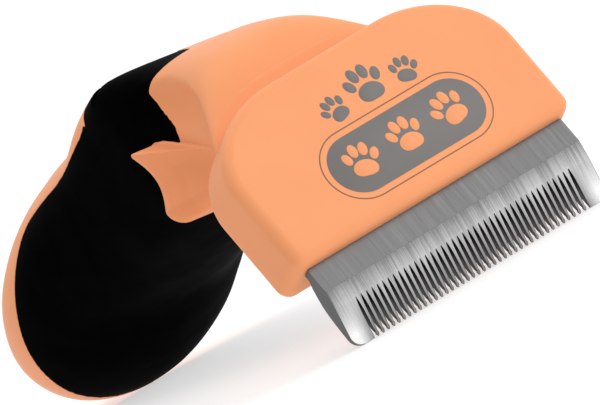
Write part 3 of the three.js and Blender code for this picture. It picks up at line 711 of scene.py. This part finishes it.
rings = []
for f in (0.30, 0.55, 0.78, 0.92):  # the flat face
    base = head_outline(FILLET)
    rings.append([(x * f, 0.0, z * f + (1 - f) * 0.75) for x, z in base])
for i in range(13):
    a = i / 12 * math.pi / 2
    rings.append(rings_of(FILLET * (1 - math.sin(a)), FILLET * (1 - math.cos(a))))
for y in (5.0, 8.0, 11.0, 13.0):
    rings.append(rings_of(0, y))
for i in range(1, 5):
    a = i / 4 * math.pi / 2
    rings.append(rings_of(0.8 * (1 - math.cos(a)), 13.2 + 0.8 * math.sin(a)))
rings.append(rings_of(2.2, 14.0))
rings.append(rings_of(2.2, 12.0))
rings.append(rings_of(2.2, 2.6))
pts, faces = lofted(rings, (0, 0.0, 0.75), (0, 2.2, 0.75))
make("head_front_cover_moulding", pts, faces, PEACH, ("head_front_cover",), "peach_plastic")

# ------------------------------------------------------------------ blade
BLADE_W, TANG_W = 66.8, 63.0
SLOTS, PITCH, SLOT_W = 41, 1.404, 0.78
CREASE_Z, TIP_Z, SLOT_TOP = -23.9, -35.4, -27.3
FRONT_LINE = smooth_line([[3.62, -23.95], [3.86, -24.5], [4.22, -25.5], [4.90, -27.2], [5.86, -29.2], [6.98, -31.4], [8.05, -33.5], [8.9, -35.4]], 10)
BACK_LINE = smooth_line([[5.9, -18.0], [5.9, -19.3], [6.9, -20.8], [8.5, -24.9], [9.1, -28.6], [9.38, -33.0], [9.32, -35.35]], 10)


def front_y(z):
    return 3.6 if z >= CREASE_Z else float(np.interp(-z, -FRONT_LINE[:, 1], FRONT_LINE[:, 0]))


def back_y(z):
    return float(np.interp(-z, -BACK_LINE[:, 1], BACK_LINE[:, 0]))


def slot_half(z):
    return SLOT_W / 2 * float(np.interp(SLOT_TOP - z, [0, 0.3, 0.8, 1.5, 2.6, 4.0, 8.1], [0, 0.20, 0.44, 0.70, 0.92, 0.99, 1.02]))


z_rows = [-17.95, -18.5, -19.3, -20.0, -20.9, -22.0, -23.2, -23.85, -23.95, -24.1, -24.4, -24.9, -25.5, -26.2, -26.8, SLOT_TOP]
z_rows += list(SLOT_TOP - np.array([0.12, 0.3, 0.55, 0.8, 1.1, 1.5, 2.0, 2.6, 3.3, 4.0, 4.7, 5.4, 6.0, 6.5, 6.9, 7.2, 7.4, 7.55, 7.7, 7.85, 8.0, 8.1]))


def tooth(k, z):
    """Left and right border of tooth k at a height; the first and last are the wide solid ends."""
    c = lambda i: (i - (SLOTS - 1) / 2) * PITCH
    left = -BLADE_W / 2 if k == 0 else c(k - 1) + slot_half(z)
    right = BLADE_W / 2 if k == SLOTS else c(k) - slot_half(z)
    r = 2.3  # the blade's rounded lower corners
    d = TIP_Z + r - z
    if d > 0:
        cut = r - math.sqrt(max(r * r - d * d, 0))
        left += cut if k == 0 else 0
        right -= cut if k == SLOTS else 0
    if 0 < k < SLOTS:
        # a small barb near the tip: a notch above it, then a rounded point
        e = TIP_Z - z + 1.6
        pinch = float(np.interp(e, [0.0, 0.55, 0.8, 1.0, 1.25, 1.6], [0.0, 0.10, 0.07, -0.035, 0.0, 0.15]))
        left += pinch
        right -= pinch
    return left, right


bp, bf, bm = [], [], []
index = {}


def bv(x, y, z):
    key = (round(x, 4), round(y, 4), round(z, 4))
    if key not in index:
        index[key] = len(bp)
        bp.append((x, y, z))
    return index[key]


def tip_cut(z):
    """The last half millimetre of the blade is ground off to a bevel at the front."""
    return float(np.interp(TIP_Z - z + 0.9, [0, 0.9], [0.0, 0.18]))


POLISHED, PLAIN, WALLS = 0, 1, 2
columns = []
for k in range(SLOTS + 1):
    m = 14 if k in (0, SLOTS) else 4
    gf, gb = [], []
    for z in z_rows:
        l, r = tooth(k, z)
        rf, rb = [], []
        for i in range(m + 1):
            u = i / m
            x = l + (r - l) * u
            round_off = 0.0
            if z < SLOT_TOP - 0.2 and 0 < k < SLOTS:
                round_off = 0.07 if i in (0, m) else 0.0
            rf.append(bv(x, front_y(z) + round_off + tip_cut(z) * (1 if 0 < k < SLOTS else 0), z))
            rb.append(bv(x, back_y(z) - round_off, z))
        gf.append(rf)
        gb.append(rb)
    columns.append((m, gf, gb))
    for j in range(len(z_rows) - 1):
        mat = PLAIN if z_rows[j + 1] >= CREASE_Z - 0.06 else POLISHED
        for i in range(m):
            bf.append((gf[j][i], gf[j + 1][i], gf[j + 1][i + 1], gf[j][i + 1]))
            bm.append(mat)
            bf.append((gb[j][i], gb[j][i + 1], gb[j + 1][i + 1], gb[j + 1][i]))
            bm.append(PLAIN)
        cut = z_rows[j + 1] < SLOT_TOP - 0.01
        if k == 0 or cut:
            bf.append((gf[j][0], gb[j][0], gb[j + 1][0], gf[j + 1][0]))
            bm.append(PLAIN if k == 0 else WALLS)
        if k == SLOTS or cut:
            bf.append((gf[j][m], gf[j + 1][m], gb[j + 1][m], gb[j][m]))
            bm.append(PLAIN if k == SLOTS else WALLS)
    for i in range(m):
        bf.append((gf[-1][i], gb[-1][i], gb[-1][i + 1], gf[-1][i + 1]))
        bm.append(POLISHED)
# the plate goes on up into the head, a little narrower there
top_f, top_b = [], []
for k, (m, gf, gb) in enumerate(columns):
    last = m + 1 if k == SLOTS else m
    top_f += gf[0][:last]
    top_b += gb[0][:last]
prev_f, prev_b = top_f, top_b
for z in (-17.9, -10.0, -3.0):
    q = TANG_W / BLADE_W
    cf = [bv(bp[i][0] * q, 3.6, z) for i in top_f]
    cb = [bv(bp[i][0] * q, 5.9, z) for i in top_f]
    for i in range(len(cf) - 1):
        bf += [(prev_f[i + 1], cf[i + 1], cf[i], prev_f[i]), (prev_b[i], cb[i], cb[i + 1], prev_b[i + 1])]
        bm += [PLAIN, PLAIN]
    bf += [(prev_f[0], cf[0], cb[0], prev_b[0]), (prev_b[-1], cb[-1], cf[-1], prev_f[-1])]
    bm += [PLAIN, PLAIN]
    prev_f, prev_b = cf, cb
for i in range(len(prev_f) - 1):
    bf.append((prev_f[i], prev_f[i + 1], prev_b[i + 1], prev_b[i]))
    bm.append(PLAIN)
good = [(tuple(dict.fromkeys(f)), m) for f, m in zip(bf, bm) if len(set(f)) >= 3]
blade = make("toothed_blade", bp, [f for f, _ in good], [STEEL, MATT, CUT], ("blade",), "blade_steel", smooth=False)
blade.data.polygons.foreach_set("material_index", [m for _, m in good])
blade.data.polygons.foreach_set("use_smooth", [m == POLISHED and len(f) == 4 for f, m in good])

# ------------------------------------------------------------------ badge
def stadium(r, half, n=40):
    out = []
    for i in range(n + 1):
        a = -math.pi / 2 + math.pi * i / n
        out.append((half + r * math.cos(a), r * math.sin(a)))
    for i in range(n + 1):
        a = math.pi / 2 + math.pi * i / n
        out.append((-half + r * math.cos(a), r * math.sin(a)))
    return [(x + BADGE_X, z + BADGE_Z) for x, z in out]


def plate(outline, y0, y1, bevel=0.04):
    """A thin plate with a small rounded rim, lying on the head's face."""
    c = np.mean(outline, 0)
    o = np.asarray(outline)
    nxt, prv = np.roll(o, -1, 0), np.roll(o, 1, 0)
    t = nxt - prv
    nrm = np.stack([t[:, 1], -t[:, 0]], 1)
    nrm /= np.maximum(np.linalg.norm(nrm, axis=1), 1e-9)[:, None]
    inner = o - nrm * bevel
    rings = [[(x, y0, z) for x, z in inner], [(x, y0 + bevel * 0.6, z) for x, z in o], [(x, y1, z) for x, z in o]]
    return lofted(rings, (c[0], y0, c[1]), (c[0], y1, c[1]))


def merge(parts):
    pts, faces = [], []
    for p, f in parts:
        n = len(pts)
        pts += list(p)
        faces += [tuple(i + n for i in q) for q in f]
    return pts, faces


pts, faces = plate(stadium(BADGE_R, BADGE_HALF), -0.05, 0.3)
make("badge_plate_print", pts, faces, GREY, ("badge_plate",), "badge_grey")
ring_o, ring_i = np.array(stadium(BADGE_R + 1.55, BADGE_HALF)), np.array(stadium(BADGE_R + 1.30, BADGE_HALF))
rings = [[(x, -0.04, z) for x, z in ring_i], [(x, -0.04, z) for x, z in ring_o], [(x, 0.3, z) for x, z in ring_o], [(x, 0.3, z) for x, z in ring_i]]
rings.append(rings[0])
pts, faces = lofted(rings)
make("badge_outline_print", pts, faces, LINE, ("badge_outline",), "badge_line")


def oval(cx, cz, rx, rz, turn=0.0, n=28, dent=0.0):
    out = []
    for i in range(n):
        a = 2 * math.pi * i / n
        r = 1 - dent * max(math.cos(a - 1.5 * math.pi), 0) ** 4
        x, z = rx * math.cos(a) * r, rz * math.sin(a) * r
        out.append((cx + x * math.cos(turn) - z * math.sin(turn), cz + x * math.sin(turn) + z * math.cos(turn)))
    return out


def paw(cx, cz, k, turn, y0, y1):
    """A plain paw print: one pad and four toes."""
    parts = []
    for dx, dz, rx, rz, a, dent in (
        (0, -1.1, 1.75, 1.35, 0.0, 0.22),
        (-1.95, 0.75, 0.62, 0.92, 0.42, 0),
        (-0.72, 1.75, 0.66, 1.0, 0.12, 0),
        (0.72, 1.75, 0.66, 1.0, -0.12, 0),
        (1.95, 0.75, 0.62, 0.92, -0.42, 0),
    ):
        x, z = dx * k, dz * k
        X = cx + x * math.cos(turn) - z * math.sin(turn)
        Z = cz + x * math.sin(turn) + z * math.cos(turn)
        parts.append(plate(oval(X, Z, rx * k, rz * k, a + turn, dent=dent), y0, y1))
    return merge(parts)


paws = merge([paw(BADGE_X + dx, BADGE_Z, 1.55, a, -0.10, 0.25) for dx, a in ((-11.5, -0.25), (0, 0.0), (11.5, 0.25))])
make("badge_paw_prints", *paws, PEACH, (), "peach_plastic")
group = merge([paw(x, z, k, a, -0.05, 0.25) for x, z, k, a in ((-6.8, 6.6, 1.2, 0.30), (2.2, 7.9, 1.7, 0.0), (11.2, 6.4, 1.2, -0.30))])
make("upper_paw_prints", *group, GREY, (), "badge_grey")

# ------------------------------------------------------------------ the two front grip screws, kept under the skin
for k in (1, 2):
    src = frame["nodes"]["handle_screw_%d" % k]
    pts = np.array([src.matrix_world @ v.co for v in src.data.vertices])
    c = (pts.min(0) + pts.max(0)) / 2
    pts = c + (pts - c) * np.array([0.95, 0.95, 0.86]) + np.array([0, 0, -0.0016])
    me = bpy.data.meshes.new("grip_screw_%d" % k)
    me.from_pydata([tuple(q) for q in pts], [], [tuple(f.vertices) for f in src.data.polygons])
    me.materials.append(ZINC)
    o = bpy.data.objects.new("grip_screw_%d" % k, me)
    bpy.context.collection.objects.link(o)
    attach(o, "root")
    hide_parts("handle_screw_%d" % k)

# ------------------------------------------------------------------ CAD nodes that stay
for name, o in frame["nodes"].items():
    mat = (ZINC if ("screw" in name or "pin" in name) else DARK if "clamp_bar" in name else PEACH_IN)
    if name in ("handle_upper_shell", "handle_lower_shell", "thumb_rest_skin", "palm_grip_skin", "head_front_cover", "blade", "badge_plate", "badge_outline", "handle_screw_1", "handle_screw_2"):
        continue
    o.data.materials.clear()
    o.data.materials.append(mat)

# ------------------------------------------------------------------ stage, light and camera
def plain_material(name, a, b, rough):
    m, nt, p = nodes_of(name)
    co = tex(nt)
    nt.links.new(ramp(nt, noise(nt, co, 3.0, 2.0), [(0.3, a), (0.7, b)]), p.inputs["Base Color"])
    p.inputs["Roughness"].default_value = rough
    p.inputs["Specular IOR Level"].default_value = 0.1
    return m


me = bpy.data.meshes.new("floor")
R = 40.0
me.from_pydata([(-R, -R, -0.0002), (R, -R, -0.0002), (R, R, -0.0002), (-R, R, -0.0002)], [], [(0, 1, 2, 3)])
floor = bpy.data.objects.new("floor", me)
bpy.context.collection.objects.link(floor)
pale = plain_material("pale_floor", (0.44, 0.44, 0.44), (0.46, 0.46, 0.46), 0.9)
pb = next(n for n in pale.node_tree.nodes if n.type == "BSDF_PRINCIPLED")
pb.inputs["Emission Color"].default_value = (1, 1, 1, 1)
pb.inputs["Emission Strength"].default_value = 0.58
me.materials.append(pale)

w = bpy.data.worlds.new("studio")
bpy.context.scene.world = w
w.use_nodes = True
nt = w.node_tree
bg = next(n for n in nt.nodes if n.type == "BACKGROUND")
bg.inputs["Color"].default_value = (1, 1, 1, 1)
wc = nt.nodes.new("ShaderNodeTexCoord").outputs["Generated"]
dot = nt.nodes.new("ShaderNodeVectorMath")
dot.operation = "DOT_PRODUCT"
nt.links.new(wc, dot.inputs[0])
dot.inputs[1].default_value = (0.78, 0.16, 0.60)
nt.links.new(maprange(nt, dot.outputs["Value"], -1.0, 1.0, 0.22, 1.08), bg.inputs["Strength"])


def area(name, loc, target, size, power):
    d = bpy.data.lights.new(name, "AREA")
    d.shape = "RECTANGLE"
    d.size, d.size_y = size
    d.energy = power
    o = bpy.data.objects.new(name, d)
    bpy.context.collection.objects.link(o)
    o.location = loc
    o.rotation_mode = "QUATERNION"
    o.rotation_quaternion = (Vector(target) - Vector(loc)).to_track_quat("-Z", "Y")
    return o


area("key_softbox", (0.75, -1.35, 0.95), (0, -0.04, 0.03), (1.1, 1.1), 8.0)
area("top_softbox", (-0.1, 0.5, 1.5), (0, 0.0, 0.0), (1.2, 1.2), 5.0)

RIGHT = (0.7554, -0.2153, -0.6191)
UP = (0.4521, -0.5124, 0.7301)
TOWARD = (-0.4743, -0.8313, -0.2896)
LENS, SENSOR, WIDE = 1150.0, 36.0, 119.28
DIST = LENS / SENSOR * WIDE
cam_d = bpy.data.cameras.new("camera")
cam = bpy.data.objects.new("camera", cam_d)
bpy.context.collection.objects.link(cam)
bpy.context.scene.camera = cam
cam_d.lens, cam_d.sensor_width = LENS, SENSOR
cam_d.clip_start, cam_d.clip_end = 0.1, 60
centre = -15.90 * np.array(RIGHT) - 16.76 * np.array(UP)
loc = centre + np.array(TOWARD) * DIST
x, y, z = world_dir(RIGHT), world_dir(UP), world_dir(TOWARD)
m = Matrix((x, y, z)).transposed().to_4x4()
m.translation = Vector(world(loc)[0])
cam.matrix_world = m
bpy.context.scene.view_settings.view_transform = "Standard"
